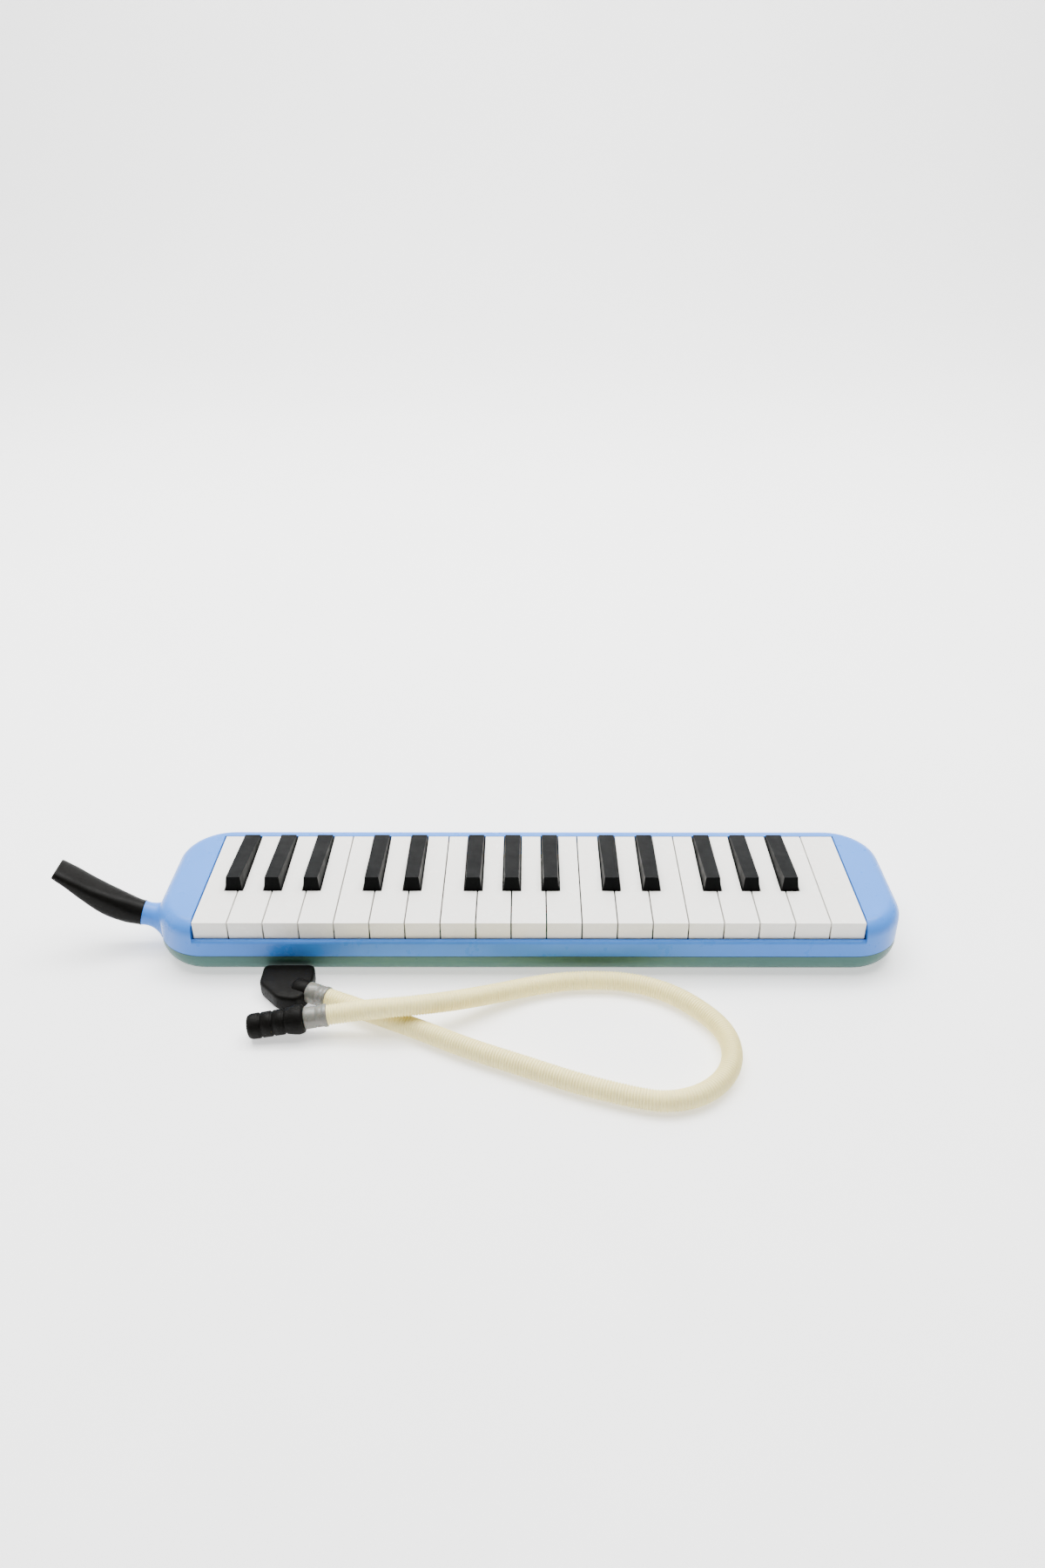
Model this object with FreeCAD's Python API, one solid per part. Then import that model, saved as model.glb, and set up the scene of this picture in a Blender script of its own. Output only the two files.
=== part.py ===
import FreeCAD, Part
import math
import os

# A 32-key melodica, bass end towards -X and treble end towards +X, keys facing up.
# Millimetres.  The origin is on the case's underside, midway along its length and 49.5
# behind its front face; +Y is the back.

V = FreeCAD.Vector
UP = V(0, 0, 1)
ALONG_X = V(1, 0, 0)

# ---- case
HALF_LENGTH = 215.3
CASE_FRONT_Y = -49.5
CASE_BACK_Y = 55.5
HEIGHT = 35.0
CORNER_R = 30.0
TOP_EDGE_R = 9.0
BOTTOM_EDGE_R = 12.0
WALL = 2.4
FLOOR = 2.2
SEAM_Z = 14.0
SEAM_GAP = 0.3
LEDGE_Z = 24.3
LEDGE_EDGE_R = 1.8
OPENING_HALF_X = 190.6
OPENING_FRONT_Y = -46.65
OPENING_BACK_Y = 44.4
WELL_FLOOR_Z = 15.0
CHEEK_SKIN = 1.6
CHEEK_SKIN_Z = 29.6
CHEEK_FRONT_END_Y = -30.0
LIP = 1.2
LIP_RISE = 1.9
CASE_BOSSES = [(-199.5, -31.5), (199.5, -31.5), (-201, 34), (201, 34)]
BOSS_R = 4.2
BOSS_FOOT_Z = 1.5
SUPPORT_X = (-150, -50, 50, 150)

# ---- keyboard
PITCH = 20.0
WHITE_COUNT = 19
KEY_GAP = 0.8
KEY_FRONT_Y = -46.15
KEY_BACK_Y = 43.9
NOTCH_Y = -15.0
BLACK_FRONT_Y = -14.2
BLACK_BACK_Y = 43.0
BLACK_HALF_BASE = 5.0
BLACK_HALF_TOP = 4.0
BLACK_TOP_FRONT_Z = 43.3
BLACK_TOP_BACK_Z = 37.4
BLACK_SHOULDER_Z = 34.5
SIDE_GAP = 0.6
KEY_SKIN = 1.5
KEY_PLATE = 2.0
FRONT_SKIRT_Z = 27.5
REAR_SKIRT_Z = 30.2
FRONT_WALL_Z = 21.0
AXLE_Y = 21.0
AXLE_Z = 26.0
AXLE_R = 1.5
AXLE_HOLE_R = 1.55
BOSS_HALF_WIDTH = 4.6
FIN_WIDTH = 1.5
PAD_Z = 20.02
PAD_TOP_Z = 21.6
WHITE_STOP_Y = -43.0
WHITE_STOP_Z = 21.0
BLACK_STOP_Y = -10.5
BLACK_STOP_Z = 22.0
NIB_Y = -4.0
NIB_Z = 25.0

# Offset of each sharp's centre line from the joint between its two naturals.
SHARP_OFFSET = {"C": -1.7, "D": 1.7, "F": -2.6, "G": 0.0, "A": 2.8}
NATURALS = "CDEFGAB"
FIRST_NATURAL = NATURALS.index("F") + 7 * 3

# ---- reed block and wind chamber
BLOCK_TOP = 20.0
BLOCK_BOTTOM = 12.0
BLOCK_HALF_X = 196.0
BLOCK_Y = (-3.0, 45.6)
CHAMBER_Y = (2.0, 42.0)
CHAMBER_FLOOR_Z = 4.5
CHAMBER_WALL = 1.6
GASKET = 0.8
PLATE_THICK = 1.0
PLATE_Y = (4.4, 39.6)
REED_ROOT_Y = 35.2
LONGEST_REED = 27.0
SHORTEST_REED = 10.0
REED_HALF_WIDTH = 1.7
REED_THICK = 0.25
RIVET_R = 0.6
CELL_HALF_WIDTH = 3.9
PLATE_SCREW_AFTER = (0, 7, 14, 16, 23, 30)
CHAMBER_SCREWS = [(-191.2, 6), (191.2, 6), (-191.2, 38), (191.2, 38)]
VALVE_X = 176.0
VALVE_Y = 22.0

# ---- neck and mouthpiece
NECK_TILT = math.radians(14)
NECK_END = V(-226.5, -17, 20.8)
NECK_LENGTH = 15.0
NECK_TUBE_R = 8.0
NECK_BORE_R = 4.5
NECK_FIT = 0.05

# ---- loose hose: its line from the connector's cuff to the angled end piece's cuff
HOSE_R = 5.6
CUFF_R = 6.2
CUFF_LENGTH = 12.4
CONNECTOR_LENGTH = 30.3
HOSE_ROUTE = [
    (-107.3, -96.6, 12.0), (-94.4, -95.4, 13.5), (-78.5, -97.4, 17.4), (-60.0, -95.0, 17.4),
    (-40.0, -86.8, 13.6), (-18.0, -74.4, 8.2), (4.0, -64.4, 5.8), (27.0, -59.9, 5.7),
    (54.0, -60.6, 5.7), (78.0, -69.8, 5.7), (97.0, -88.6, 5.7), (105.9, -105.3, 5.7),
    (106.0, -123.4, 5.7), (98.6, -138.7, 5.7), (85.0, -149.7, 5.7), (68.0, -153.6, 5.7),
    (51.0, -149.7, 5.7), (24.0, -140.4, 5.7), (-4.0, -127.5, 5.7), (-32.0, -115.2, 5.7),
    (-58.0, -101.0, 5.7), (-81.0, -89.8, 5.7), (-98.5, -81.6, 6.0), (-110.5, -76.4, 6.3)]
END_PIECE_OUTLINE = [(-150.5, -51.0), (-150.5, -66.5), (-138.5, -79.5), (-127.5, -81.5),
                     (-122.5, -76.0), (-120.5, -60.0), (-121.5, -51.0)]
END_PIECE_HEIGHT = 10.0


def box(x0, x1, y0, y1, z0, z1):
    return Part.makeBox(x1 - x0, y1 - y0, z1 - z0, V(x0, y0, z0))


def rod(radius, start, end):
    start, end = V(*start), V(*end)
    return Part.makeCylinder(radius, (end - start).Length, start, end - start)


def pin_up(radius, x, y, z0, z1):
    return rod(radius, (x, y, z0), (x, y, z1))


def fused(first, *others):
    return first.multiFuse(list(others)).removeSplitter()


def level_edges(shape, z):
    return [e for e in shape.Edges if all(abs(v.Point.z - z) < 1e-6 for v in e.Vertexes)]


def upright_edges(shape):
    return [e for e in shape.Edges
            if (e.Vertexes[0].Point - e.Vertexes[-1].Point).cross(UP).Length < 1e-6]


def rounded_box(half_x, y0, y1, z0, z1, corner, top=0.0, bottom=0.0):
    shape = box(-half_x, half_x, y0, y1, z0, z1)
    shape = shape.makeFillet(corner, upright_edges(shape))
    if top:
        shape = shape.makeFillet(top, level_edges(shape, z1))
    if bottom:
        shape = shape.makeFillet(bottom, level_edges(shape, z0))
    return shape


# ---------------------------------------------------------------- keyboard layout

def keyboard():
    """Each key in order: name, colour, left and right edge at the front and at the rear."""
    left = -PITCH * WHITE_COUNT / 2
    keys = []
    sharp_before = None
    for i in range(WHITE_COUNT):
        step = FIRST_NATURAL + i
        letter, octave = NATURALS[step % 7], step // 7
        x0, x1 = left + PITCH * i, left + PITCH * (i + 1)
        sharp_after = None
        if letter in SHARP_OFFSET and i < WHITE_COUNT - 1:
            sharp_after = x1 + SHARP_OFFSET[letter]
        front = (x0 + KEY_GAP / 2, x1 - KEY_GAP / 2)
        reach = BLACK_HALF_BASE + SIDE_GAP
        rear = (front[0] if sharp_before is None else sharp_before + reach,
                front[1] if sharp_after is None else sharp_after - reach)
        keys.append({"name": "white_key_%s%d" % (letter, octave), "white": True,
                     "front": front, "rear": rear, "centre": sum(rear) / 2})
        if sharp_after is not None:
            edges = (sharp_after - BLACK_HALF_BASE, sharp_after + BLACK_HALF_BASE)
            keys.append({"name": "black_key_%ss%d" % (letter, octave), "white": False,
                         "front": edges, "rear": edges, "centre": sharp_after})
        sharp_before = sharp_after
    return keys


def lever_works(x):
    """The axle boss, pad foot and spring nib under a key whose lever runs along x."""
    top = HEIGHT - KEY_PLATE + 0.5
    boss = box(x - BOSS_HALF_WIDTH, x + BOSS_HALF_WIDTH, AXLE_Y - 3.8, AXLE_Y + 3.8,
               AXLE_Z - 3.8, top)
    foot = box(x - 3.9, x + 3.9, 34.0, 42.4, PAD_TOP_Z, top)
    nib = box(x - 1.5, x + 1.5, NIB_Y - 1, NIB_Y + 1, NIB_Z, top)
    return [boss, foot, nib]


def axle_hole():
    return rod(AXLE_HOLE_R, (-HALF_LENGTH, AXLE_Y, AXLE_Z), (HALF_LENGTH, AXLE_Y, AXLE_Z))


def valve_pad(x):
    return box(x - 4.1, x + 4.1, 33.4, 43.0, PAD_Z, PAD_TOP_Z)


def white_key(key):
    f0, f1 = key["front"]
    r0, r1 = key["rear"]
    plate_z = HEIGHT - KEY_PLATE
    body = fused(box(f0, f1, KEY_FRONT_Y, NOTCH_Y, FRONT_SKIRT_Z, HEIGHT),
                 box(r0, r1, NOTCH_Y - 1, KEY_BACK_Y, REAR_SKIRT_Z, HEIGHT),
                 box(f0, f1, KEY_FRONT_Y, KEY_FRONT_Y + 2.2, FRONT_WALL_Z, HEIGHT))
    front_hollow = box(f0 + KEY_SKIN, f1 - KEY_SKIN, KEY_FRONT_Y + 2.2, NOTCH_Y - KEY_SKIN,
                       FRONT_WALL_Z - 1, plate_z)
    rear_hollow = box(r0 + KEY_SKIN, r1 - KEY_SKIN, NOTCH_Y - 2 * KEY_SKIN,
                      KEY_BACK_Y - KEY_SKIN, FRONT_WALL_Z - 1, plate_z)
    middle = (f0 + f1) / 2
    stop = box(middle - 2, middle + 2, WHITE_STOP_Y - 1.5, WHITE_STOP_Y + 1.5, WHITE_STOP_Z,
               plate_z + 0.5)
    shell = body.cut(fused(front_hollow, rear_hollow))
    lever = fused(shell, stop, *lever_works(key["centre"])).cut(axle_hole())
    return Part.makeCompound([lever, valve_pad(key["centre"])])


def black_key(key):
    x = key["centre"]
    profile = [(BLACK_FRONT_Y, REAR_SKIRT_Z), (BLACK_BACK_Y, REAR_SKIRT_Z),
               (BLACK_BACK_Y, BLACK_SHOULDER_Z), (BLACK_BACK_Y - 0.8, BLACK_TOP_BACK_Z),
               (BLACK_FRONT_Y + 1.2, BLACK_TOP_FRONT_Z), (BLACK_FRONT_Y, BLACK_SHOULDER_Z)]
    side = [V(x - BLACK_HALF_BASE, y, z) for y, z in profile]
    body = Part.Face(Part.makePolygon(side + side[:1])).extrude(ALONG_X * BLACK_HALF_BASE * 2)
    section = [(-BLACK_HALF_BASE, REAR_SKIRT_Z), (BLACK_HALF_BASE, REAR_SKIRT_Z),
               (BLACK_HALF_BASE, BLACK_SHOULDER_Z), (BLACK_HALF_TOP, BLACK_TOP_FRONT_Z),
               (-BLACK_HALF_TOP, BLACK_TOP_FRONT_Z), (-BLACK_HALF_BASE, BLACK_SHOULDER_Z)]
    end = [V(x + dx, BLACK_FRONT_Y, z) for dx, z in section]
    taper = Part.Face(Part.makePolygon(end + end[:1])).extrude(
        V(0, BLACK_BACK_Y - BLACK_FRONT_Y, 0))
    hollow = box(x - 3.4, x + 3.4, BLACK_FRONT_Y + 2.5, BLACK_BACK_Y - 1.6,
                 REAR_SKIRT_Z - 1, HEIGHT - 1)
    stop = box(x - 2, x + 2, BLACK_STOP_Y - 1.5, BLACK_STOP_Y + 1.5, BLACK_STOP_Z, HEIGHT)
    shell = body.common(taper).cut(hollow)
    works = [part.fuse(box(part.BoundBox.XMin, part.BoundBox.XMax, part.BoundBox.YMin,
                           part.BoundBox.YMax, HEIGHT - KEY_PLATE, HEIGHT))
             for part in lever_works(x)]
    lever = fused(shell, stop, *works).cut(axle_hole())
    return Part.makeCompound([lever, valve_pad(x)])


# ---------------------------------------------------------------- neck and mouthpiece

def neck_direction():
    return V(-math.cos(NECK_TILT), 0, math.sin(NECK_TILT))


def neck_point(s):
    """A point on the neck's axis, s from the plane where the flare meets the case."""
    return NECK_END + neck_direction() * (s - NECK_LENGTH)


def neck_rod(radius, s0, s1):
    return rod(radius, neck_point(s0), neck_point(s1))


def case_outside():
    return rounded_box(HALF_LENGTH, CASE_FRONT_Y, CASE_BACK_Y, 0, HEIGHT, CORNER_R,
                       TOP_EDGE_R, BOTTOM_EDGE_R)


def case_inside():
    return rounded_box(HALF_LENGTH - WALL, OPENING_FRONT_Y, CASE_BACK_Y - WALL, FLOOR,
                       HEIGHT - WALL, CORNER_R - WALL, TOP_EDGE_R - WALL,
                       BOTTOM_EDGE_R - FLOOR)


def neck_socket():
    base_r, end_r = 12.4, 7.4
    side = UP.cross(neck_direction())
    start = neck_point(-8) + side * base_r
    lip = neck_point(1.5) + side * base_r
    waist = neck_point(5.5) + side * (end_r + 1.5)
    rim = neck_point(NECK_LENGTH) + side * end_r
    edges = [Part.LineSegment(neck_point(-8), start).toShape(),
             Part.LineSegment(start, lip).toShape(),
             Part.Arc(lip, waist, rim).toShape(),
             Part.LineSegment(rim, neck_point(NECK_LENGTH)).toShape(),
             Part.LineSegment(neck_point(NECK_LENGTH), neck_point(-8)).toShape()]
    flare = Part.Face(Part.Wire(edges)).revolve(neck_point(0), neck_direction(), 360)
    collar = flare.cut(case_outside())
    tube = neck_rod(NECK_TUBE_R, -4.7, 4)
    return fused(collar, tube).cut(neck_rod(NECK_BORE_R, -10, NECK_LENGTH + 1))


# The mouthpiece's sections: centre x and z, tilt in degrees, outer half height and half
# width, then the half height and half width of the air passage.
MOUTHPIECE_SECTIONS = [(-226.7, 20.9, 14, 7.3, 7.3, 3.6, 3.6), (-236.0, 24.2, 24, 8.0, 8.0, 5.0, 5.0),
                       (-246.0, 30.0, 34, 7.4, 8.3, 4.6, 5.5), (-256.5, 38.6, 43, 5.4, 8.7, 3.0, 6.0),
                       (-264.5, 46.0, 41, 4.0, 8.9, 1.9, 6.3), (-271.5, 51.6, 37, 3.2, 8.6, 1.4, 6.2)]


def mouthpiece_section(x, z, tilt, half_height, half_width):
    along = V(-math.cos(math.radians(tilt)), 0, math.sin(math.radians(tilt)))
    across = V(0, 1, 0)
    wide = max(half_width, half_height + 0.001)
    edge = Part.Ellipse(V(0, 0, 0), wide, half_height).toShape()
    turn = FreeCAD.Rotation(across, along.cross(across), along, "XZY")
    edge.Placement = FreeCAD.Placement(V(x, NECK_END.y, z), turn)
    return Part.Wire([edge])


def mouthpiece():
    outside, passage = [
        Part.makeLoft([mouthpiece_section(x, z, tilt, *sizes[pick:pick + 2])
                       for x, z, tilt, *sizes in MOUTHPIECE_SECTIONS], True, False)
        for pick in (0, 2)]
    spigot = neck_rod(NECK_BORE_R - NECK_FIT, NECK_LENGTH - 9, NECK_LENGTH + 2)
    outlet = neck_rod(3.3, NECK_LENGTH - 10, NECK_LENGTH + 3)
    return fused(outside.cut(passage), spigot).cut(outlet)


def air_duct():
    x0, x1 = -208.0, -BLOCK_HALF_X
    skin = 1.6
    tall = box(x0, x1, -27, -7, 4.5, 27.5)
    low = box(x0, x1, -8, 20, 4.5, 13)
    room = box(x0 + skin, x1 - skin, -27 + skin, -7 - skin, 4.5 + skin, 27.5 - skin)
    run = box(x0 + skin, x1 - skin, -12, 20 - skin, 4.5 + skin, 13 - skin)
    port = box(x1 - 3, x1 + 1, 10, 18, 6.1, 10.6)
    return fused(tall, low).cut(fused(room, run, port)).cut(
        neck_rod(NECK_TUBE_R + NECK_FIT, -9, 0))


# ---------------------------------------------------------------- case

def ledge_edges(shape):
    """The outer edge of the ledge below the key fronts, along the front and its corners."""
    return [e for e in level_edges(shape, LEDGE_Z)
            if e.BoundBox.YMax < OPENING_FRONT_Y - 0.5 and e.Length > 2 * LEDGE_EDGE_R]


def upper_case():
    shell = case_outside().common(box(-300, 300, -60, 60, SEAM_Z + SEAM_GAP / 2, 60))
    shell = shell.cut(box(-OPENING_HALF_X, OPENING_HALF_X, -60, OPENING_FRONT_Y + 0.1,
                          LEDGE_Z, HEIGHT + 5))
    shell = shell.makeFillet(LEDGE_EDGE_R, ledge_edges(shell))
    shell = shell.cut(case_inside())
    shell = shell.cut(box(-OPENING_HALF_X, OPENING_HALF_X, OPENING_FRONT_Y, OPENING_BACK_Y,
                          WELL_FLOOR_Z, HEIGHT + 5))
    parts = [shell]
    for side in (-1, 1):
        x = sorted((side * OPENING_HALF_X, side * (OPENING_HALF_X + CHEEK_SKIN)))
        parts.append(box(x[0], x[1], OPENING_FRONT_Y - 0.5, CHEEK_FRONT_END_Y, 22, HEIGHT - 5))
        parts.append(box(x[0], x[1], CHEEK_FRONT_END_Y - 12, OPENING_BACK_Y, CHEEK_SKIN_Z,
                         HEIGHT - 1))
    for x, y in CASE_BOSSES:
        parts.append(pin_up(BOSS_R, x, y, SEAM_Z + SEAM_GAP / 2, HEIGHT - 1.5))
    case = fused(*parts)
    for x, y in CASE_BOSSES:
        case = case.cut(pin_up(1.25, x, y, SEAM_Z - 1, 26))
    return case.cut(neck_rod(NECK_TUBE_R + NECK_FIT, -12, 6)).common(case_outside())


def ring(outer_in, inner_in, z0, z1):
    """A wall that follows the inside of the case, between two insets from it."""
    def plug(inset):
        return rounded_box(HALF_LENGTH - WALL - inset, OPENING_FRONT_Y + inset,
                           CASE_BACK_Y - WALL - inset, z0, z1, CORNER_R - WALL - inset)
    return plug(outer_in).cut(plug(inner_in))


def lower_case():
    top = SEAM_Z - SEAM_GAP / 2
    shell = case_outside().common(box(-300, 300, -60, 60, -1, top)).cut(case_inside())
    parts = [shell, ring(0, LIP, BOTTOM_EDGE_R, top),
             ring(0.15, LIP, top, top + LIP_RISE)]
    key_span = PITCH * WHITE_COUNT / 2 - 1
    parts.append(box(-key_span, key_span, -43.4, -41.8, 3, 14))
    parts.append(box(-key_span, key_span, -45.2, -40.6, 13.8, 15.3))
    parts.append(box(-key_span, key_span, -11.4, -9.6, 1, 16))
    parts.append(box(-key_span, key_span, -12.6, -8.4, 15.7, 17.2))
    for x in SUPPORT_X:
        parts.append(box(x - 2, x + 2, BLOCK_Y[0], 1.4, 1, BLOCK_BOTTOM))
        parts.append(box(x - 2, x + 2, 42.6, 46.5, 1, BLOCK_BOTTOM))
    for x, y in CASE_BOSSES:
        parts.append(pin_up(BOSS_R, x, y, BOSS_FOOT_Z, top))
    case = fused(*parts)
    for x, y in CASE_BOSSES:
        case = case.cut(pin_up(1.6, x, y, -1, top + 3)).cut(pin_up(3.0, x, y, -1, 4))
    case = case.cut(pin_up(5.3, VALVE_X, VALVE_Y, -1, FLOOR + 1))
    return case.cut(neck_rod(NECK_TUBE_R + NECK_FIT, -12, 6))


def case_screws():
    return Part.makeCompound([pin_up(2.8, x, y, 2, 4).fuse(pin_up(1.2, x, y, 4, 24))
                              for x, y in CASE_BOSSES])


def down_stop_felts():
    span = PITCH * WHITE_COUNT / 2 - 1
    return Part.makeCompound([box(-span, span, -45.0, -41.0, 15.3, 17.2),
                              box(-span, span, -12.5, -8.5, 17.2, 19.2)])


# ---------------------------------------------------------------- reeds and wind chamber

def reed_length(index, count):
    return LONGEST_REED - (LONGEST_REED - SHORTEST_REED) * index / (count - 1)


def plate_screw_places(keys):
    places = []
    for i in PLATE_SCREW_AFTER:
        x = (keys[i]["centre"] + keys[i + 1]["centre"]) / 2
        places += [(x, PLATE_Y[0] + 1.6), (x, PLATE_Y[1] - 1.8)]
    return places


def reed_block(keys):
    block = box(-BLOCK_HALF_X, BLOCK_HALF_X, BLOCK_Y[0], BLOCK_Y[1], BLOCK_BOTTOM, BLOCK_TOP)
    hollows = []
    for key in keys:
        x = key["centre"]
        hollows.append(fused(box(x - CELL_HALF_WIDTH, x + CELL_HALF_WIDTH, 7.5, 38.0,
                                 BLOCK_BOTTOM - 1, 17),
                             box(x - 2.6, x + 2.6, 34.6, 41.6, 15, BLOCK_TOP + 1)))
    for x, y in plate_screw_places(keys):
        hollows.append(pin_up(0.75, x, y, BLOCK_BOTTOM - 1, 15.5))
    for x, y in CHAMBER_SCREWS:
        hollows.append(pin_up(1.05, x, y, BLOCK_BOTTOM - 1, 18.5))
    return block.cut(Part.makeCompound(hollows))


def chamber_frame(z0, z1):
    outer = box(-BLOCK_HALF_X, BLOCK_HALF_X, CHAMBER_Y[0], CHAMBER_Y[1], z0, z1)
    w = CHAMBER_WALL
    return outer.cut(box(w - BLOCK_HALF_X, BLOCK_HALF_X - w, CHAMBER_Y[0] + w,
                         CHAMBER_Y[1] - w, z0 - 1, z1 + 1))


def chamber_cover():
    rim_z = BLOCK_BOTTOM - GASKET
    floor = box(-BLOCK_HALF_X, BLOCK_HALF_X, CHAMBER_Y[0], CHAMBER_Y[1], CHAMBER_FLOOR_Z,
                CHAMBER_FLOOR_Z + CHAMBER_WALL)
    bosses = [pin_up(2.6, x, y, CHAMBER_FLOOR_Z, BLOCK_BOTTOM) for x, y in CHAMBER_SCREWS]
    cover = fused(floor, chamber_frame(CHAMBER_FLOOR_Z, rim_z), *bosses)
    for x, y in CHAMBER_SCREWS:
        cover = cover.cut(pin_up(1.05, x, y, 0, 20))
    cover = cover.cut(pin_up(1.9, VALVE_X, VALVE_Y, 0, CHAMBER_FLOOR_Z + CHAMBER_WALL + 0.5))
    return cover.cut(box(-BLOCK_HALF_X - 1, -BLOCK_HALF_X + 3, 10, 18, 6.1, 10.6))


def chamber_gasket():
    ring_shape = chamber_frame(BLOCK_BOTTOM - GASKET, BLOCK_BOTTOM)
    return ring_shape.cut(Part.makeCompound([pin_up(2.65, x, y, 0, 20)
                                             for x, y in CHAMBER_SCREWS]))


def chamber_screws():
    return Part.makeCompound([pin_up(1.9, x, y, CHAMBER_FLOOR_Z - 1, CHAMBER_FLOOR_Z).fuse(
        pin_up(1.0, x, y, CHAMBER_FLOOR_Z, 18)) for x, y in CHAMBER_SCREWS])


def reed_plate(keys, first, last):
    z0 = BLOCK_BOTTOM - PLATE_THICK
    x0 = keys[first]["centre"] - 4.5 if first == 0 else \
        (keys[first - 1]["centre"] + keys[first]["centre"]) / 2 + 0.3
    x1 = keys[last]["centre"] + 4.5 if last == len(keys) - 1 else \
        (keys[last]["centre"] + keys[last + 1]["centre"]) / 2 - 0.3
    plate = box(x0, x1, PLATE_Y[0], PLATE_Y[1], z0, BLOCK_BOTTOM)
    holes = []
    for i in range(first, last + 1):
        x = keys[i]["centre"]
        slot_end = REED_ROOT_Y - 1.8
        holes.append(box(x - REED_HALF_WIDTH - 0.1, x + REED_HALF_WIDTH + 0.1,
                         slot_end - reed_length(i, len(keys)), slot_end, z0 - 1,
                         BLOCK_BOTTOM + 1))
        holes.append(pin_up(RIVET_R + 0.03, x, REED_ROOT_Y, z0 - 1, BLOCK_BOTTOM + 1))
    for x, y in plate_screw_places(keys):
        holes.append(pin_up(0.75, x, y, z0 - 1, BLOCK_BOTTOM + 1))
    return plate.cut(Part.makeCompound(holes))


def reeds(keys, first, last):
    top = BLOCK_BOTTOM - PLATE_THICK
    tongues = []
    for i in range(first, last + 1):
        x = keys[i]["centre"]
        tip = REED_ROOT_Y - 1.6 - reed_length(i, len(keys))
        blade = box(x - REED_HALF_WIDTH, x + REED_HALF_WIDTH, tip, REED_ROOT_Y + 1.6,
                    top - REED_THICK, top)
        tongues.append(blade.cut(pin_up(RIVET_R + 0.03, x, REED_ROOT_Y, top - 1, top + 1)))
    return Part.makeCompound(tongues)


def reed_rivets(keys):
    seat = BLOCK_BOTTOM - PLATE_THICK - REED_THICK
    return Part.makeCompound([pin_up(1.1, k["centre"], REED_ROOT_Y, seat - 0.4, seat).fuse(
        pin_up(RIVET_R, k["centre"], REED_ROOT_Y, seat, BLOCK_BOTTOM + 0.2)) for k in keys])


def reed_plate_screws(keys):
    seat = BLOCK_BOTTOM - PLATE_THICK
    return Part.makeCompound([pin_up(1.3, x, y, seat - 0.9, seat).fuse(
        pin_up(0.7, x, y, seat, 15)) for x, y in plate_screw_places(keys)])


# ---------------------------------------------------------------- key mechanism

def key_comb(keys):
    """The row of thin walls that carries the axle and keeps the levers apart."""
    centres = [k["centre"] for k in keys]
    walls = [(a + b) / 2 for a, b in zip(centres, centres[1:])]
    ends = [centres[0] - 6.3, centres[-1] + 6.3]
    base = box(-191.0, 191.0, AXLE_Y - 6, AXLE_Y + 6, BLOCK_TOP, BLOCK_TOP + 1.2)
    fins = [box(x - FIN_WIDTH / 2, x + FIN_WIDTH / 2, AXLE_Y - 3.4, AXLE_Y + 3.4,
                BLOCK_TOP + 1, AXLE_Z + 3.2) for x in walls + ends]
    return fused(base, *fins).cut(rod(AXLE_R + 0.02, (-HALF_LENGTH, AXLE_Y, AXLE_Z),
                                      (HALF_LENGTH, AXLE_Y, AXLE_Z)))


def key_axle():
    return rod(AXLE_R, (-191.3, AXLE_Y, AXLE_Z), (191.3, AXLE_Y, AXLE_Z))


def axle_clips(keys):
    clips = []
    for x in (keys[0]["centre"] - 5.5, keys[-1]["centre"] + 5.0):
        disc = rod(2.9, (x, AXLE_Y, AXLE_Z), (x + 0.5, AXLE_Y, AXLE_Z))
        clips.append(disc.cut(rod(AXLE_R + 0.02, (x - 1, AXLE_Y, AXLE_Z),
                                  (x + 1.5, AXLE_Y, AXLE_Z))))
    return Part.makeCompound(clips)


def spring_comb(keys):
    thick = 0.4
    rail = box(-190, 190, 7.5, 13.5, BLOCK_TOP, BLOCK_TOP + thick)
    fingers = []
    for key in keys:
        x0 = key["centre"] - 1.4
        line = [(9.0, BLOCK_TOP), (NIB_Y - 1, NIB_Z - 0.5), (NIB_Y - 1, NIB_Z - 0.05),
                (9.0, BLOCK_TOP + thick)]
        side = [V(x0, y, z) for y, z in line]
        fingers.append(Part.Face(Part.makePolygon(side + side[:1])).extrude(ALONG_X * 2.8))
    return fused(rail, *fingers)


# ---------------------------------------------------------------- moisture valve

def spit_valve_button():
    return fused(pin_up(5.0, VALVE_X, VALVE_Y, 0.5, 2.1),
                 pin_up(1.1, VALVE_X, VALVE_Y, 2.1, 7.0))


def spit_valve_seal():
    floor = CHAMBER_FLOOR_Z + CHAMBER_WALL
    return pin_up(3.2, VALVE_X, VALVE_Y, floor, floor + 1.2).cut(
        pin_up(1.1, VALVE_X, VALVE_Y, floor - 1, 7.0))


def spit_valve_spring():
    coils = [Part.makeTorus(2.6, 0.2, V(VALVE_X, VALVE_Y, z)) for z in (2.32, 2.99, 3.66, 4.29)]
    return Part.makeCompound(coils)


# ---------------------------------------------------------------- loose hose

def rounded_path(points, share=0.45):
    """Straight runs joined by tangent arcs as large as the runs allow; returns arc radii."""
    points = [V(*p) for p in points]
    edges, radii = [], []
    start = points[0]
    for a, b, c in zip(points, points[1:], points[2:]):
        before, after = (b - a), (c - b)
        turn = before.getAngle(after)
        trim = share * min(before.Length, after.Length)
        radius = trim / math.tan(turn / 2)
        before.normalize()
        after.normalize()
        arc_in, arc_out = b - before * trim, b + after * trim
        inward = (after - before).normalize()
        middle = b + inward * (radius / math.cos(turn / 2) - radius)
        edges.append(Part.LineSegment(start, arc_in).toShape())
        edges.append(Part.Arc(arc_in, middle, arc_out).toShape())
        radii.append(radius)
        start = arc_out
    edges.append(Part.LineSegment(start, points[-1]).toShape())
    return Part.Wire(edges), radii


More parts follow.
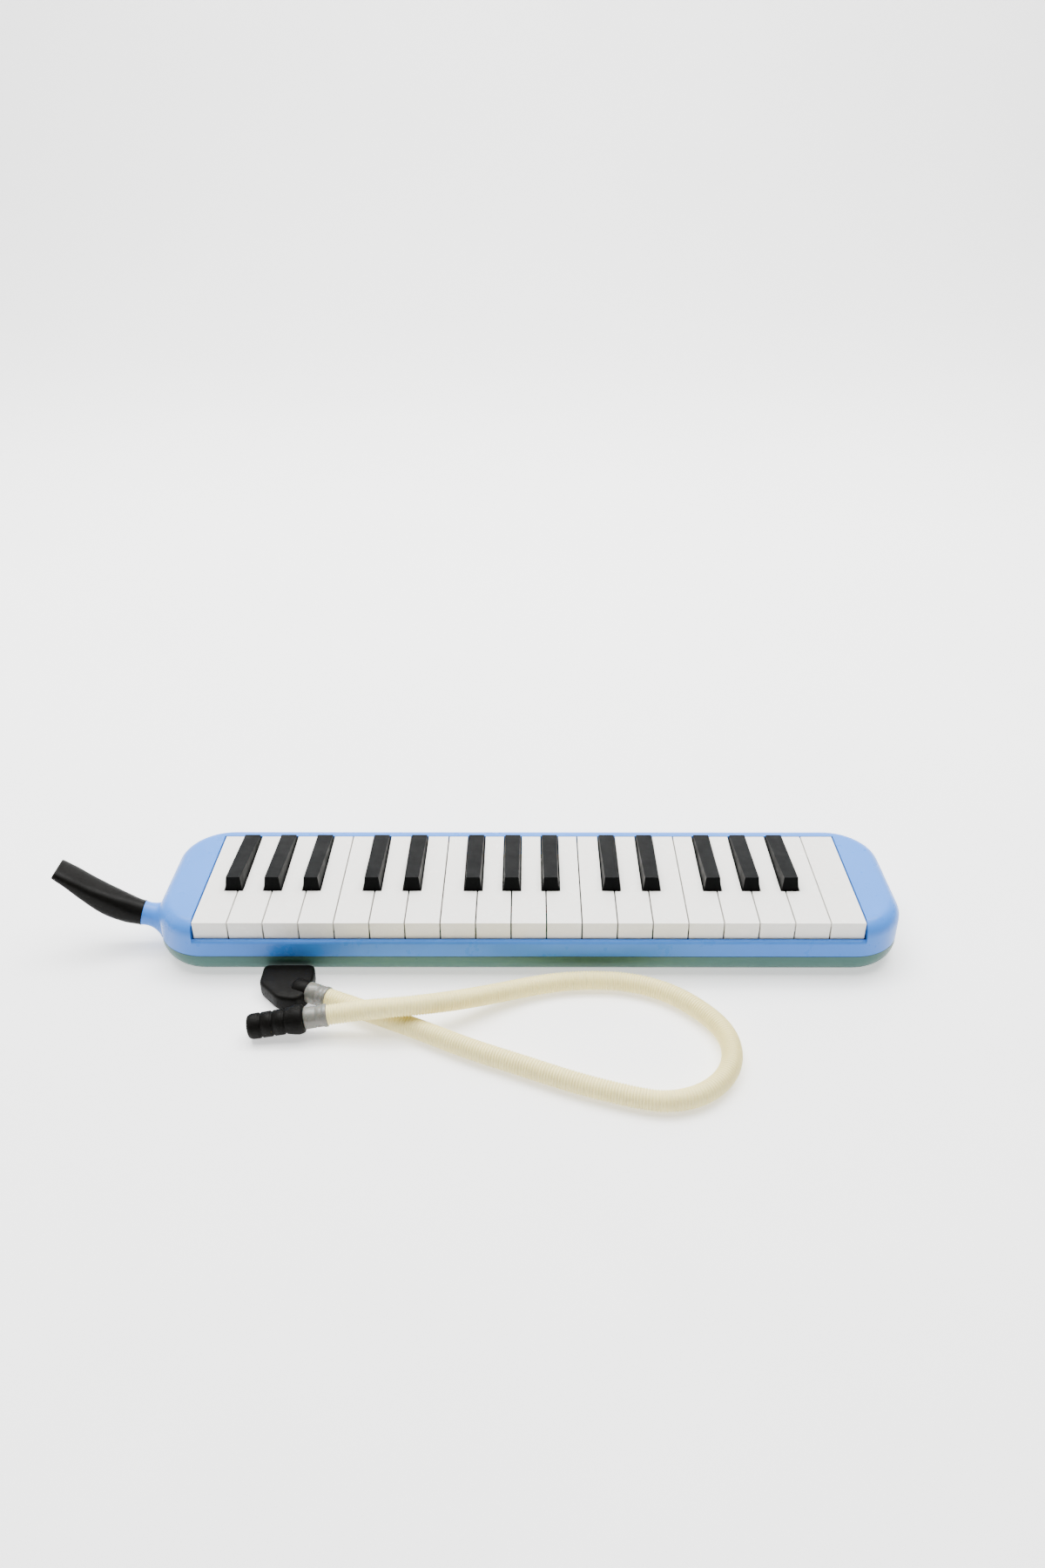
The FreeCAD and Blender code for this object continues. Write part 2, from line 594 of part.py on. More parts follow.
def hose():
    path, radii = rounded_path(HOSE_ROUTE)
    start = V(*HOSE_ROUTE[0])
    heading = V(*HOSE_ROUTE[1]) - start
    section = Part.Wire([Part.makeCircle(HOSE_R, start, heading)])
    tube = path.makePipeShell([section], True, False)
    expected = math.pi * HOSE_R ** 2 * path.Length
    print("hose length %.1f, volume ratio %.4f" % (path.Length, tube.Volume / expected))
    print("hose radii", [round(r, 1) for r in radii])
    return tube


def hose_end(first, second):
    """The hose's end point and the direction in which it leaves the tube."""
    return V(*first), (V(*first) - V(*second)).normalize()


def cuff(tip, outward):
    """A smooth sleeve beyond the hose's end, with a raised ring where the hose leaves it."""
    return fused(rod(CUFF_R - 0.4, tip, tip + outward * CUFF_LENGTH),
                 rod(CUFF_R, tip, tip + outward * 2.2))


def hose_cuffs():
    return Part.makeCompound([cuff(*hose_end(*HOSE_ROUTE[:2])),
                              cuff(*hose_end(*HOSE_ROUTE[:-3:-1]))])


def hose_connector():
    tip, outward = hose_end(*HOSE_ROUTE[:2])
    right = tip + outward * CUFF_LENGTH
    side = outward.cross(UP).normalize()
    length = CONNECTOR_LENGTH
    radii = [(0, 0), (0, 6.2), (1.0, 6.9), (length - 14.6, 6.9), (length - 14.2, 6.2),
             (length - 13.0, 6.2), (length - 12.6, 6.9), (length - 8.2, 6.9),
             (length - 7.8, 6.2), (length - 6.6, 6.2), (length - 6.2, 6.9),
             (length - 1.6, 6.6), (length, 5.4), (length, 0)]
    points = [right + outward * s + side * r for s, r in radii]
    return Part.Face(Part.makePolygon(points + points[:1])).revolve(right, outward, 360)


def hose_mouthpiece():
    outline = [V(x, y, 0) for x, y in END_PIECE_OUTLINE]
    slab = Part.Face(Part.makePolygon(outline + outline[:1])).extrude(UP * END_PIECE_HEIGHT)
    slab = slab.makeFillet(2.4, upright_edges(slab))
    slab = slab.makeFillet(2.0, level_edges(slab, END_PIECE_HEIGHT) + level_edges(slab, 0))
    tip, outward = hose_end(*HOSE_ROUTE[:-3:-1])
    joint = tip + outward * CUFF_LENGTH
    neck = rod(5.9, joint, joint + outward * 8)
    return fused(slab, neck).cut(rod(CUFF_R + 0.6, tip, joint))


# ---------------------------------------------------------------- all pieces

def pieces():
    keys = keyboard()
    half = len(keys) // 2
    nodes = {
        "upper_case": upper_case(), "lower_case": lower_case(), "case_screws": case_screws(),
        "neck_socket": neck_socket(), "mouthpiece": mouthpiece(), "air_duct": air_duct(),
        "reed_block": reed_block(keys), "chamber_cover": chamber_cover(),
        "chamber_gasket": chamber_gasket(), "chamber_screws": chamber_screws(),
        "reed_plate_low": reed_plate(keys, 0, half - 1),
        "reed_plate_high": reed_plate(keys, half, len(keys) - 1),
        "reeds_low": reeds(keys, 0, half - 1),
        "reeds_high": reeds(keys, half, len(keys) - 1),
        "reed_rivets": reed_rivets(keys), "reed_plate_screws": reed_plate_screws(keys),
        "key_comb": key_comb(keys), "key_axle": key_axle(), "axle_clips": axle_clips(keys),
        "spring_comb": spring_comb(keys), "down_stop_felts": down_stop_felts(),
        "spit_valve_button": spit_valve_button(), "spit_valve_seal": spit_valve_seal(),
        "spit_valve_spring": spit_valve_spring(), "hose": hose(), "hose_cuffs": hose_cuffs(),
        "hose_connector": hose_connector(), "hose_mouthpiece": hose_mouthpiece()}
    for key in keys:
        nodes[key["name"]] = white_key(key) if key["white"] else black_key(key)
    return nodes


def main():
    os.makedirs("parts", exist_ok=True)
    for name, shape in pieces().items():
        if not shape.isValid():
            print("not valid:", name)
        shape.exportStep("parts/%s.step" % name)
        bounds = shape.BoundBox
        print("%-20s %2d solids  z %.2f to %.2f  x %.1f to %.1f  y %.1f to %.1f" % (
            name, len(shape.Solids), bounds.ZMin, bounds.ZMax, bounds.XMin, bounds.XMax,
            bounds.YMin, bounds.YMax))


main()
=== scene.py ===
import math

import bpy
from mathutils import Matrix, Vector


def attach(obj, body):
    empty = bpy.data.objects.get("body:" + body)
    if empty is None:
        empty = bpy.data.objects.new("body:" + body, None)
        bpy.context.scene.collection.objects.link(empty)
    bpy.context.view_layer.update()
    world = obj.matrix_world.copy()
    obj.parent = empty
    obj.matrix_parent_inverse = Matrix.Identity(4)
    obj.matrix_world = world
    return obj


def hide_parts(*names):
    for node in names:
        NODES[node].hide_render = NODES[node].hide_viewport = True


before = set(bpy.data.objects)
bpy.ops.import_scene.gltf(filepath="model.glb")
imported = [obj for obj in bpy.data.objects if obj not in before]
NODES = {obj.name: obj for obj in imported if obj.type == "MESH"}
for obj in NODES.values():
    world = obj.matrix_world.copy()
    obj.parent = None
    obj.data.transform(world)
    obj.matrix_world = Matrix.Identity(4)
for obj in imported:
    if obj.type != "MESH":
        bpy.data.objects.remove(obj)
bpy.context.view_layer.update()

MM = 0.001
ROUND_POINTS = 64
HOSE_POINTS = 32
SHARP_EDGE_DEG = 30


# ---------------------------------------------------------------- camera

def make_camera():
    camera = bpy.data.objects.new("camera", bpy.data.cameras.new("camera"))
    bpy.context.scene.collection.objects.link(camera)
    camera.location = (0.0, -0.5769, 0.4330)
    camera.rotation_euler = (math.radians(59.9), 0.0, math.radians(0.07))
    camera.data.sensor_width = 36.0
    camera.data.lens = 26.96
    camera.data.shift_x = -0.0033
    camera.data.clip_start = 0.01
    bpy.context.scene.camera = camera


# ---------------------------------------------------------------- node materials

class Shader:
    """One Principled material with short calls for the nodes that feed it."""

    def __init__(self, name, roughness, **fixed):
        self.material = bpy.data.materials.new(name)
        self.material.use_nodes = True
        self.tree = self.material.node_tree
        self.bsdf = self.tree.nodes["Principled BSDF"]
        self.bsdf.inputs["Roughness"].default_value = roughness
        for socket, value in fixed.items():
            self.bsdf.inputs[socket.replace("_", " ")].default_value = value
        self.place = self.add("ShaderNodeTexCoord").outputs["Object"]
        self.height = None

    def add(self, kind, **inputs):
        node = self.tree.nodes.new(kind)
        for socket, value in inputs.items():
            target = node.inputs[socket.replace("_", " ")]
            if hasattr(value, "is_linked"):
                self.tree.links.new(value, target)
            else:
                target.default_value = value
        return node

    def stretched(self, scale):
        node = self.add("ShaderNodeMapping", Vector=self.place)
        node.inputs["Scale"].default_value = scale
        return node.outputs["Vector"]

    def noise(self, scale, detail=4.0, roughness=0.55, stretch=None):
        vector = self.stretched(stretch) if stretch else self.place
        return self.add("ShaderNodeTexNoise", Vector=vector, Scale=scale, Detail=detail,
                        Roughness=roughness).outputs["Fac"]

    def ramp(self, value, low, high, colour_low, colour_high):
        node = self.add("ShaderNodeValToRGB", Fac=value)
        node.color_ramp.elements[0].position = low
        node.color_ramp.elements[1].position = high
        node.color_ramp.elements[0].color = (*colour_low, 1)
        node.color_ramp.elements[1].color = (*colour_high, 1)
        return node.outputs["Color"]

    def range(self, value, low, high, to_low, to_high):
        node = self.add("ShaderNodeMapRange", Value=value)
        for socket, number in zip(("From Min", "From Max", "To Min", "To Max"),
                                  (low, high, to_low, to_high)):
            node.inputs[socket].default_value = number
        return node.outputs["Result"]

    def colour(self, link):
        self.tree.links.new(link, self.bsdf.inputs["Base Color"])

    def roughness(self, link):
        self.tree.links.new(link, self.bsdf.inputs["Roughness"])

    def bump(self, value, distance, strength=1.0):
        node = self.add("ShaderNodeBump", Height=value, Strength=strength, Distance=distance)
        if self.height is not None:
            self.tree.links.new(self.height, node.inputs["Normal"])
        self.height = node.outputs["Normal"]
        self.tree.links.new(self.height, self.bsdf.inputs["Normal"])


def tint(colour, factor):
    return tuple(min(1.0, c * factor) for c in colour)


def moulded_plastic(name, colour, shine, spread=0.05, specular=0.5, texture=0.00001):
    """Moulded plastic: slow colour drift, a faint orange peel and worn, uneven gloss."""
    shader = Shader(name, shine, Specular_IOR_Level=specular, IOR=1.5)
    shader.colour(shader.ramp(shader.noise(14.0, 3.0), 0.3, 0.7, tint(colour, 1 - spread),
                              tint(colour, 1 + spread)))
    shader.roughness(shader.range(shader.noise(90.0, 6.0, 0.65), 0.3, 0.75,
                                  shine * 0.8, shine * 1.35))
    shader.bump(shader.noise(420.0, 2.0), texture)
    shader.bump(shader.noise(60.0, 2.0), texture * 4)
    return shader


def case_blue():
    return moulded_plastic("case_blue", (0.045, 0.205, 0.66), 0.3, 0.03, 0.2).material


def lower_blue_painted_reflection_and_shade():
    """The lower shell's blue, painted duller and greener than the upper shell's, as painted shade
    and a painted green reflection.
    """
    return moulded_plastic("lower_blue_painted_reflection_and_shade", (0.055, 0.13, 0.115), 0.34, 0.03, 0.15).material


def key_white():
    return moulded_plastic("key_white", (0.86, 0.845, 0.80), 0.24, 0.012, 0.4, 0.000006).material


def key_black():
    return moulded_plastic("key_black", (0.003, 0.0034, 0.0036), 0.42, 0.2, 0.03, 0.000012).material


def scuffed_black(name="scuffed_black", shine=0.34):
    """Black moulding with fine handling scratches in its gloss."""
    shader = moulded_plastic(name, (0.004, 0.0038, 0.0033), shine, 0.3, 0.06, 0.000015)
    scratches = shader.noise(300.0, 5.0, 0.7, (1.0, 6.0, 1.0))
    shader.roughness(shader.range(scratches, 0.35, 0.7, shine * 0.75, shine * 1.5))
    return shader.material


def hose_plastic():
    """Cream, slightly see-through polythene."""
    cream = (0.92, 0.81, 0.38)
    shader = Shader("hose_plastic", 0.38, Subsurface_Weight=0.12, Subsurface_Scale=0.003,
                    IOR=1.5)
    shader.bsdf.inputs["Subsurface Radius"].default_value = (1.0, 0.85, 0.5)
    shader.colour(shader.ramp(shader.noise(32.0, 3.0), 0.3, 0.7, tint(cream, 0.94),
                              tint(cream, 1.04)))
    shader.roughness(shader.range(shader.noise(140.0), 0.3, 0.7, 0.3, 0.48))
    shader.bump(shader.noise(700.0, 2.0), 0.00001)
    return shader.material


def cuff_plastic():
    grey = (0.15, 0.15, 0.13)
    shader = Shader("cuff_plastic", 0.3, Subsurface_Weight=0.25, Subsurface_Scale=0.003)
    shader.colour(shader.ramp(shader.noise(160.0, 3.0), 0.3, 0.7, tint(grey, 0.93),
                              tint(grey, 1.06)))
    shader.roughness(shader.range(shader.noise(220.0), 0.3, 0.7, 0.22, 0.4))
    shader.bump(shader.noise(500.0, 3.0), 0.00002)
    return shader.material


def inner_plastic():
    return moulded_plastic("inner_plastic", (0.06, 0.062, 0.066), 0.5, 0.08, 0.3, 0.00003).material


def brushed_metal(name, colour, roughness, stretch):
    """Metal with fine lines drawn along one axis."""
    shader = Shader(name, roughness, Metallic=1.0)
    lines = shader.noise(260.0, 6.0, 0.7, stretch)
    shader.colour(shader.ramp(lines, 0.3, 0.75, tint(colour, 0.85), tint(colour, 1.08)))
    shader.roughness(shader.range(lines, 0.3, 0.75, roughness * 0.75, roughness * 1.4))
    shader.bump(lines, 0.00001)
    return shader.material


def soft_rubber():
    shader = Shader("soft_rubber", 0.75)
    shader.colour(shader.ramp(shader.noise(180.0), 0.3, 0.7, (0.02, 0.02, 0.02),
                              (0.045, 0.043, 0.04)))
    shader.roughness(shader.range(shader.noise(90.0), 0.3, 0.7, 0.62, 0.85))
    shader.bump(shader.noise(900.0, 3.0), 0.00003)
    return shader.material


def pressed_felt():
    shader = Shader("pressed_felt", 0.95, Sheen_Weight=0.6, Sheen_Roughness=0.5)
    shader.colour(shader.ramp(shader.noise(700.0, 8.0, 0.7), 0.3, 0.7, (0.17, 0.02, 0.03),
                              (0.36, 0.06, 0.07)))
    shader.roughness(shader.range(shader.noise(300.0), 0.3, 0.7, 0.85, 1.0))
    shader.bump(shader.noise(1200.0, 6.0, 0.75), 0.00025)
    return shader.material


def floor_paint():
    shader = Shader("floor_paint", 0.6, Emission_Strength=0.9)
    shader.bsdf.inputs["Emission Color"].default_value = (1.0, 1.0, 1.0, 1)
    shader.colour(shader.ramp(shader.noise(3.0), 0.3, 0.7, (0.86, 0.86, 0.855),
                              (0.90, 0.90, 0.895)))
    shader.roughness(shader.range(shader.noise(20.0), 0.3, 0.7, 0.5, 0.65))
    return shader.material


# ---------------------------------------------------------------- CAD nodes that stay

def paint(piece, material):
    piece.data.materials.clear()
    piece.data.materials.append(material)


def soften(piece, width, segments=3):
    """Rounds a CAD node's sharp edges and shades it smoothly, by modifiers alone."""
    if "custom_normal" in piece.data.attributes:
        piece.data.attributes.remove(piece.data.attributes["custom_normal"])
    piece.data.shade_smooth()
    weld = piece.modifiers.new("weld", "WELD")
    weld.merge_threshold = 2e-6
    flats = piece.modifiers.new("flats", "DECIMATE")
    flats.decimate_type = "DISSOLVE"
    flats.angle_limit = math.radians(0.4)
    bevel = piece.modifiers.new("edges", "BEVEL")
    bevel.width = width
    bevel.segments = segments
    bevel.limit_method = "ANGLE"
    bevel.angle_limit = math.radians(SHARP_EDGE_DEG)
    bevel.miter_outer = "MITER_ARC"
    normals = piece.modifiers.new("normals", "WEIGHTED_NORMAL")
    normals.keep_sharp = False
    normals.weight = 80


def dress_cad_nodes():
    steel = brushed_metal("bright_steel", (0.62, 0.63, 0.64), 0.28, (1.0, 14.0, 14.0))
    brass = brushed_metal("reed_brass", (0.78, 0.57, 0.26), 0.32, (14.0, 1.0, 14.0))
    bronze = brushed_metal("reed_bronze", (0.80, 0.62, 0.36), 0.22, (14.0, 1.0, 14.0))
    plastic, rubber = inner_plastic(), soft_rubber()
    blue = case_blue()
    looks = {
        # The lower shell's blue carries painted shade and a painted green reflection.
        "upper_case": (blue, 0.0007), "lower_case": (lower_blue_painted_reflection_and_shade(), 0.0005),
        "neck_socket": (blue, 0.0004), "spit_valve_button": (blue, 0.0005),
        "air_duct": (plastic, 0.0003), "reed_block": (plastic, 0.0003),
        "chamber_cover": (plastic, 0.0003), "key_comb": (plastic, 0.00015),
        "chamber_gasket": (rubber, 0.0001), "spit_valve_seal": (rubber, 0.0002),
        "chamber_screws": (steel, 0.0002), "reed_plate_screws": (steel, 0.0001),
        "case_screws": (steel, 0.0002), "key_axle": (steel, 0.0003),
        "axle_clips": (steel, 0.0001), "spring_comb": (steel, 0.00005),
        "spit_valve_spring": (steel, 0.00005), "reed_plate_low": (brass, 0.0001),
        "reed_plate_high": (brass, 0.0001), "reed_rivets": (brass, 0.0001),
        "reeds_low": (bronze, 0.00005), "reeds_high": (bronze, 0.00005),
        "down_stop_felts": (pressed_felt(), 0.0003)}
    for name, (material, width) in looks.items():
        paint(NODES[name], material)
        soften(NODES[name], width)


def dress_keys():
    """White and black levers; each key's pad, under the pad foot, is rubber."""
    white, black, rubber = key_white(), key_black(), soft_rubber()
    pad_top = 21.65 * MM
    for name, key in NODES.items():
        if not name.startswith(("white_key", "black_key")):
            continue
        is_white = name.startswith("white_key")
        paint(key, white if is_white else black)
        key.data.materials.append(rubber)
        for face in key.data.polygons:
            if all(key.data.vertices[v].co.z < pad_top for v in face.vertices):
                face.material_index = 1
        soften(key, 0.0009 if is_white else 0.0011, 4)


# ---------------------------------------------------------------- new meshes

def new_piece(name, verts, faces, body, material):
    mesh = bpy.data.meshes.new(name)
    mesh.from_pydata([tuple(v) for v in verts], [], faces)
    mesh.validate()
    mesh.materials.append(material)
    mesh.shade_smooth()
    piece = bpy.data.objects.new(name, mesh)
    bpy.context.scene.collection.objects.link(piece)
    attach(piece, body)
    return piece


def skin_rings(rings, closed_ends=(True, True)):
    """Vertices and faces of a tube through rings that all have the same number of points."""
    count = len(rings[0])
    verts = [v for ring in rings for v in ring]
    faces = []
    for i in range(len(rings) - 1):
        a, b = i * count, (i + 1) * count
        for j in range(count):
            k = (j + 1) % count
            faces.append((a + j, a + k, b + k, b + j))
    if closed_ends[0]:
        faces.append(tuple(reversed(range(count))))
    if closed_ends[1]:
        faces.append(tuple(range((len(rings) - 1) * count, len(rings) * count)))
    return verts, faces


def joined(verts, faces, more_verts, more_faces):
    """Two sets of vertices and faces as one."""
    offset = len(verts)
    shifted = [tuple(i + offset for i in face) for face in more_faces]
    return verts + more_verts, faces + shifted


def turned(axis_start, axis_dir, profile):
    """Rings of a turned shape: profile lists (distance along the axis, radius)."""
    along = Vector(axis_dir).normalized()
    side = along.orthogonal().normalized()
    other = along.cross(side)
    rings = []
    for s, r in profile:
        centre = Vector(axis_start) + along * s
        rings.append([centre + (side * math.cos(a) + other * math.sin(a)) * r
                      for a in (math.tau * j / ROUND_POINTS for j in range(ROUND_POINTS))])
    return rings


# ---------------------------------------------------------------- mouthpiece

NECK_END = Vector((-226.5, -17.0, 20.8)) * MM
NECK_TILT = math.radians(14)
# Centre x and z, tilt, half height and half width, and how square the section is.
MOUTHPIECE = [(-226.7, 20.9, 14, 7.3, 7.3, 2.0), (-229.6, 21.7, 16, 7.5, 7.5, 2.0),
              (-236.0, 24.2, 24, 8.0, 8.0, 2.2), (-246.0, 30.0, 34, 7.4, 8.3, 2.8),
              (-256.5, 38.6, 43, 5.4, 8.7, 3.0), (-264.5, 46.0, 41, 4.0, 8.9, 2.8),
              (-271.5, 51.6, 37, 3.2, 8.6, 2.6)]


def smooth_value(keys, t):
    """A Catmull-Rom value through evenly spaced keys, t from 0 to 1."""
    x = t * (len(keys) - 1)
    i = min(int(x), len(keys) - 2)
    f = x - i
    a, b = keys[max(i - 1, 0)], keys[i]
    c, d = keys[i + 1], keys[min(i + 2, len(keys) - 1)]
    return b + 0.5 * f * (c - a + f * (2 * a - 5 * b + 4 * c - d + f * (3 * (b - c) + d - a)))


def mouthpiece_ring(t, scale=1.0, inset=0.0, push=0.0):
    x, z, tilt, high, wide, square = (smooth_value([row[c] for row in MOUTHPIECE], t)
                                      for c in range(6))
    along = Vector((-math.cos(math.radians(tilt)), 0, math.sin(math.radians(tilt))))
    across = Vector((0, 1, 0))
    up = across.cross(along) * -1
    centre = Vector((x, NECK_END.y / MM, z)) + along * push
    ring = []
    for j in range(ROUND_POINTS):
        a = math.tau * j / ROUND_POINTS
        c, s = math.cos(a), math.sin(a)
        power = 2 / square
        u = math.copysign(abs(c) ** power, c) * (wide * scale - inset)
        v = math.copysign(abs(s) ** power, s) * (high * scale - inset)
        ring.append((centre + across * u + up * v) * MM)
    return ring


def make_mouthpiece(material):
    """The curved duck-bill mouthpiece, with its air slot, base ring and neck spigot."""
    steps = 72
    rings = [mouthpiece_ring(0, 0.93)]
    for i in range(steps + 1):
        t = i / steps
        swell = 1.0
        if t < 0.035:
            swell = 1.03
        elif t < 0.045:
            swell = 0.985
        rings.append(mouthpiece_ring(t, swell))
    rings.append(mouthpiece_ring(1, 1.0, 0.35, push=0.35))
    rings.append(mouthpiece_ring(1, 1.0, 1.0, push=0.5))
    rings.append(mouthpiece_ring(1, 1.0, 1.45, push=0.2))
    rings.append(mouthpiece_ring(0.93, 1.0, 1.9))
    rings.append(mouthpiece_ring(0.85, 1.0, 2.2))
    verts, faces = skin_rings(rings, (False, True))
    axis = Vector((-math.cos(NECK_TILT), 0, math.sin(NECK_TILT)))
    start = NECK_END + axis * 0.25 * MM
    spigot = turned(start, -axis, [(0, 6.6 * MM), (0, 4.45 * MM), (8.6 * MM, 4.45 * MM),
                                   (9.0 * MM, 4.1 * MM), (9.0 * MM, 3.3 * MM),
                                   (1.0 * MM, 3.3 * MM)])
    verts, faces = joined(verts, faces, *skin_rings(spigot, (False, True)))
    piece = new_piece("mouthpiece_shell", verts, faces, "mouthpiece",
                      material)
    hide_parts("mouthpiece")


# ---------------------------------------------------------------- hose

HOSE_R = 5.6 * MM
CUFF_LENGTH = 12.4
CONNECTOR_LENGTH = 30.3
HOSE_ROUTE = [
    (-107.3, -96.6, 12.0), (-94.4, -95.4, 13.5), (-78.5, -97.4, 17.4), (-60.0, -95.0, 17.4),
    (-40.0, -86.8, 13.6), (-18.0, -74.4, 8.2), (4.0, -64.4, 5.8), (27.0, -59.9, 5.7),
    (54.0, -60.6, 5.7), (78.0, -69.8, 5.7), (97.0, -88.6, 5.7), (105.9, -105.3, 5.7),
    (106.0, -123.4, 5.7), (98.6, -138.7, 5.7), (85.0, -149.7, 5.7), (68.0, -153.6, 5.7),
    (51.0, -149.7, 5.7), (24.0, -140.4, 5.7), (-4.0, -127.5, 5.7), (-32.0, -115.2, 5.7),
    (-58.0, -101.0, 5.7), (-81.0, -89.8, 5.7), (-98.5, -81.6, 6.0), (-110.5, -76.4, 6.3)]


def hose_end(first, second):
    """The hose's end point and the direction in which it leaves the tube."""
    return Vector(first) * MM, (Vector(first) - Vector(second)).normalized()


CONNECTOR_TIP, CONNECTOR_DIR = hose_end(*HOSE_ROUTE[:2])
FAR_TIP, FAR_DIR = hose_end(*HOSE_ROUTE[:-3:-1])
CONNECTOR_JOINT = CONNECTOR_TIP + CONNECTOR_DIR * CUFF_LENGTH * MM
END_PIECE_JOINT = FAR_TIP + FAR_DIR * CUFF_LENGTH * MM


def spline_points(route):
    """Points along the smooth line of a route, read from a NURBS curve with no bevel."""
    curve = bpy.data.curves.new("route", "CURVE")
    curve.dimensions = "3D"
    curve.resolution_u = 24
    spline = curve.splines.new("NURBS")
    spline.points.add(len(route) - 1)
    for point, place in zip(spline.points, route):
        point.co = (*(Vector(place) * MM), 1)
    spline.order_u = 3
    spline.use_endpoint_u = True
    holder = bpy.data.objects.new("route", curve)
    mesh = bpy.data.meshes.new_from_object(holder)
    points = [v.co.copy() for v in mesh.vertices]
    bpy.data.objects.remove(holder)
    bpy.data.meshes.remove(mesh)
    return points


def evenly(points, spacing):
    """Resamples a polyline at about the given spacing; returns the points."""
    lengths = [0.0]
    for a, b in zip(points, points[1:]):
        lengths.append(lengths[-1] + (b - a).length)
    count = max(2, round(lengths[-1] / spacing))
    result, i = [], 0
    for n in range(count + 1):
        s = lengths[-1] * n / count
        while i < len(lengths) - 2 and lengths[i + 1] < s:
            i += 1
        f = (s - lengths[i]) / (lengths[i + 1] - lengths[i])
        result.append(points[i].lerp(points[i + 1], f))
    return result


def frames_along(points):
    """A twist-free pair of cross directions at each point."""
    tangents = [(points[min(i + 1, len(points) - 1)] - points[max(i - 1, 0)]).normalized()
                for i in range(len(points))]
    side = tangents[0].cross(Vector((0, 0, 1))).normalized()
    pairs = []
    for tangent in tangents:
        side = (side - tangent * side.dot(tangent)).normalized()
        pairs.append((side, tangent.cross(side)))
    return pairs


def make_hose(material):
    """The ribbed hose: narrow raised ribs close together all along its line."""
    steps_per_rib = 6
    rib_pitch = 1.55 * MM
    line = evenly(spline_points(HOSE_ROUTE), rib_pitch / steps_per_rib)
    depth = 0.75 * MM
    rings = []
    for i, (point, (side, up)) in enumerate(zip(line, frames_along(line))):
        wave = 0.5 + 0.5 * math.cos(math.tau * i / steps_per_rib)
        radius = HOSE_R - depth * (1 - wave ** 0.8)
        rings.append([point + (side * math.cos(a) + up * math.sin(a)) * radius
                      for a in (math.tau * j / HOSE_POINTS for j in range(HOSE_POINTS))])
    verts, faces = skin_rings(rings)
    piece = new_piece("ribbed_hose", verts, faces, "case", material)
    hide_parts("hose")


def make_cuff(name, tip, outward, material):
    """A sleeve beyond a hose end: a raised ring at the hose, then two bands and a groove."""
    profile = [(0, 4.9), (0.1, 5.9), (0.5, 6.15), (1.9, 6.2), (2.4, 5.85), (3.0, 5.8),
               (5.6, 5.85), (5.9, 5.6), (6.5, 5.6), (6.8, 5.85), (CUFF_LENGTH - 0.4, 5.9),
               (CUFF_LENGTH, 5.7), (CUFF_LENGTH, 4.6)]
    rings = turned(tip, outward, [(s * MM, r * MM) for s, r in profile])
    verts, faces = skin_rings(rings)
    return new_piece(name, verts, faces, "case", material)


def make_connector(material):
    """The grooved round connector, open at its free end."""
    end = CONNECTOR_LENGTH
    profile = [(0, 4.6), (0.1, 6.4), (0.5, 7.2), (1.4, 7.7), (3.4, 8.1), (6.0, 7.7),
               (end - 21.3, 7.0)]
    for groove in (end - 20.3, end - 13.9, end - 7.5):
        profile += [(groove - 0.3, 6.85), (groove - 0.1, 6.25), (groove + 1.0, 6.25),
                    (groove + 1.2, 6.85), (groove + 1.5, 6.9)]
    profile += [(end - 2.4, 6.85), (end - 1.2, 6.5), (end - 0.3, 5.9), (end, 5.2),
                (end - 0.2, 4.7), (end - 1.2, 4.2), (end - 14.0, 3.6)]
    rings = turned(CONNECTOR_JOINT, CONNECTOR_DIR, [(s * MM, r * MM) for s, r in profile])
    verts, faces = skin_rings(rings)
    piece = new_piece("grooved_connector", verts, faces, "case", material)
    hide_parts("hose_connector")
    return piece


# The angled end piece's outline from above, in millimetres.
END_PIECE_OUTLINE = [(-150.5, -51.0), (-150.5, -66.5), (-138.5, -79.5), (-127.5, -81.5),
                     (-122.5, -76.0), (-120.5, -60.0), (-121.5, -51.0)]


def make_end_piece(material):
    """The wide angled mouthpiece on the hose's other end, as a crowned rounded slab."""
    outline = [Vector((x, y, 0)) * MM for x, y in END_PIECE_OUTLINE]
    middle = sum(outline, Vector()) / len(outline)
    smooth = []
    count = len(outline)
    for i in range(count):
        a, b, c = outline[i - 1], outline[i], outline[(i + 1) % count]
        reach = min(3.2 * MM, 0.45 * (a - b).length, 0.45 * (c - b).length)
        p, q = b + (a - b).normalized() * reach, b + (c - b).normalized() * reach
        for step in range(7):
            t = step / 6
            smooth.append(p * (1 - t) ** 2 + b * 2 * t * (1 - t) + q * t ** 2)
    levels = [(0.0, 0.86), (0.2, 0.93), (0.9, 0.98), (2.2, 1.0), (7.6, 1.0), (8.8, 0.985),
              (9.6, 0.95), (10.0, 0.88), (10.1, 0.5), (10.1, 0.1)]
    rings = []
    for z, share in levels:
        rings.append([Vector((middle.x + (p.x - middle.x) * share,
                              middle.y + (p.y - middle.y) * share, z * MM)) for p in smooth])
    verts, faces = skin_rings(rings)
    collar = turned(END_PIECE_JOINT, FAR_DIR, [(0, 4.6 * MM), (0, 5.6 * MM),
                                               (0.5 * MM, 5.9 * MM), (7.5 * MM, 5.9 * MM),
                                               (9.0 * MM, 5.0 * MM)])
    verts, faces = joined(verts, faces, *skin_rings(collar))
    piece = new_piece("angled_end_piece", verts, faces, "case", material)
    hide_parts("hose_mouthpiece")
    return piece


